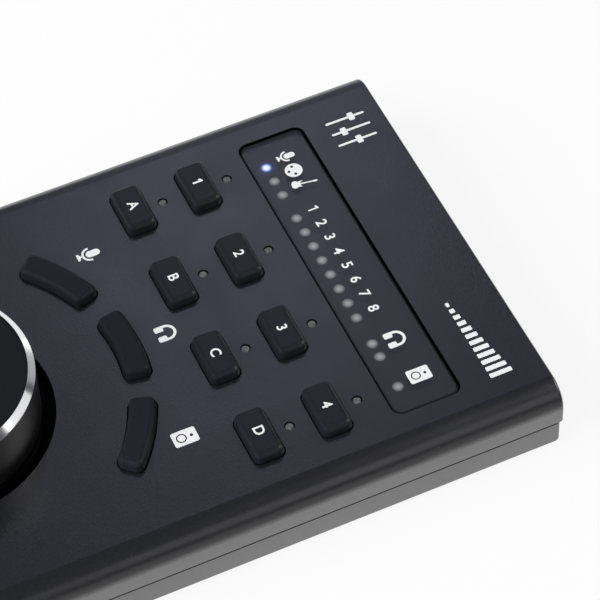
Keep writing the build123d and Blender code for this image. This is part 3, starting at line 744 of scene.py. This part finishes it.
def drawText(name, word, height):
    curve = bpy.data.curves.new(name, "FONT")
    curve.body = word
    curve.offset = lettering["weight"]
    curve.extrude = lettering["draftDepth"]
    draft = bpy.data.objects.new(name, curve)
    scene.collection.objects.link(draft)
    bpy.context.view_layer.update()
    mesh = bpy.data.meshes.new_from_object(draft.evaluated_get(bpy.context.evaluated_depsgraph_get()))
    bpy.data.objects.remove(draft)
    low = [min(vert.co[axis] for vert in mesh.vertices) for axis in range(3)]
    high = [max(vert.co[axis] for vert in mesh.vertices) for axis in range(3)]
    size = height / (high[1] - low[1])
    bm = bmesh.new()
    bm.from_mesh(mesh)
    bpy.data.meshes.remove(mesh)
    bmesh.ops.remove_doubles(bm, verts=bm.verts, dist=lettering["weld"])
    bmesh.ops.translate(bm, vec=(-(low[0] + high[0]) / 2, -(low[1] + high[1]) / 2, -low[2]), verts=bm.verts)
    bmesh.ops.scale(bm, vec=(size, size, ink["thickness"] / (high[2] - low[2])), verts=bm.verts)
    return bm


def printText(name, word, outlineOfOne, height, middle, level, body):
    if word == "1":
        bm = bmesh.new()
        addPolygon(bm, [(x * height, y * height) for x, y in outlineOfOne])
    else:
        bm = drawText(name, word, height)
    printPiece(name, bm, whiteInk, body, middle, level)


for kind, words in (("figure", "1234"), ("letter", "ABCD")):
    for word in words:
        key = f"key_{word.lower()}"
        x, y = middleOf(key)
        printText(f"{kind}Key{word}", word, lettering["keyOne"], lettering["keyHeight"],
                  (x, y + lettering[f"{kind}Shift"]), keyTop, f"{key}_body")
for word, x in zip("12345678", rowOf(*lightRows["channels"])):
    printText(f"figureWindow{word}", word, lettering["windowOne"], lettering["windowHeight"],
              (x, lettering["windowRow"]), windowTop, "case")
print("figures and letters printed")


# Floor, white to the camera; reflections see it white beside the object and dimmer away to the right
floorLook = {"size": 6.0, "white": 0.86, "share": 0.9, "near": 0.053, "far": 0.069, "dim": 0.18}


def makeFloor():
    bm = bmesh.new()
    bmesh.ops.create_grid(bm, x_segments=1, y_segments=1, size=floorLook["size"])
    mesh = bpy.data.meshes.new("paleFloor")
    bm.to_mesh(mesh)
    bm.free()
    floor = bpy.data.objects.new("paleFloor", mesh)
    scene.collection.objects.link(floor)
    material, tree, shader = newFinish("paleFloor")
    tree.nodes.remove(shader)
    paint = tree.nodes.new("ShaderNodeBsdfDiffuse")
    paint.inputs["Color"].default_value = (floorLook["white"], floorLook["white"], floorLook["white"], 1)
    path = tree.nodes.new("ShaderNodeLightPath").outputs
    along = axisOf(tree, objectPoint(tree), "X")
    fade = rangeOf(tree, along, 1.0, floorLook["dim"], floorLook["near"], floorLook["far"], "SMOOTHSTEP")
    shine = tree.nodes.new("ShaderNodeEmission")
    tree.links.new(mathOf(tree, "MAXIMUM", path["Is Camera Ray"], fade), shine.inputs["Strength"])
    seen = mathOf(tree, "ADD", path["Is Camera Ray"], path["Is Glossy Ray"])
    seen = mathOf(tree, "ADD", seen, path["Is Transmission Ray"])
    share = mathOf(tree, "MULTIPLY", seen, floorLook["share"])
    share.node.use_clamp = True
    mix = tree.nodes.new("ShaderNodeMixShader")
    tree.links.new(share, mix.inputs["Fac"])
    tree.links.new(paint.outputs["BSDF"], mix.inputs[1])
    tree.links.new(shine.outputs["Emission"], mix.inputs[2])
    tree.links.new(mix.outputs["Shader"], tree.nodes["Material Output"].inputs["Surface"])
    mesh.materials.append(material)


makeFloor()

# Soft studio light: a dim room, a main panel at the front, and pale cards left, right and at the rear
room = {"colour": (0.95, 0.97, 1.1), "level": 0.06, "aim": (0, 0.02, 0.01)}
white = (1, 1, 1)
cool = (0.93, 0.95, 1.22)
panels = {
    "mainSoftPanel": {"at": (0.04, -0.92, 0.61), "size": (1.5, 1.1), "power": 28.5, "colour": white,
                      "mirrored": False},
    "upperCard": {"at": (-0.50, 0.207, 0.611), "size": (0.169, 0.152), "power": 0.049, "colour": cool},
    "leftCard": {"at": (-0.50, 0.28, 0.225), "size": (0.40, 0.45), "power": 0.07, "colour": cool},
    "highCard": {"at": (0.20, 0.76, 0.785), "size": (0.6, 0.34), "power": 1.2, "colour": white},
    "rightCard": {"at": (0.84, 0.30, 0.50), "size": (0.45, 0.5), "power": 0.19, "colour": white},
    "rearCard": {"at": (0.25, 0.90, 0.56), "size": (0.6, 0.55), "power": 0.83, "colour": white},
    "rearStrip": {"at": (-0.10, 0.90, 0.16), "size": (1.2, 0.27), "power": 0.37, "colour": white},
    "lowStrip": {"at": (-0.46, 0.88, 0.035), "size": (0.4, 0.07), "power": 0.09, "colour": white},
}


def lightRoom():
    world = bpy.data.worlds.new("dimRoom")
    scene.world = world
    world.use_nodes = True
    tree = world.node_tree
    base = tree.nodes["Background"]
    base.inputs["Color"].default_value = (*room["colour"], 1)
    base.inputs["Strength"].default_value = room["level"]
    backdrop = tree.nodes.new("ShaderNodeBackground")
    backdrop.inputs["Color"].default_value = (*white, 1)
    path = tree.nodes.new("ShaderNodeLightPath")
    mix = tree.nodes.new("ShaderNodeMixShader")
    tree.links.new(path.outputs["Is Camera Ray"], mix.inputs["Fac"])
    tree.links.new(base.outputs["Background"], mix.inputs[1])
    tree.links.new(backdrop.outputs["Background"], mix.inputs[2])
    tree.links.new(mix.outputs["Shader"], tree.nodes["World Output"].inputs["Surface"])
    for name, look in panels.items():
        lamp = bpy.data.lights.new(name, "AREA")
        lamp.shape = "RECTANGLE"
        lamp.size, lamp.size_y = look["size"]
        lamp.energy = look["power"]
        lamp.color = look["colour"]
        panel = bpy.data.objects.new(name, lamp)
        scene.collection.objects.link(panel)
        panel.visible_glossy = look.get("mirrored", True)
        facing = (Vector(room["aim"]) - Vector(look["at"])).to_track_quat("-Z", "Y")
        panel.matrix_world = Matrix.Translation(look["at"]) @ facing.to_matrix().to_4x4()


lightRoom()
print("floor and lights placed")
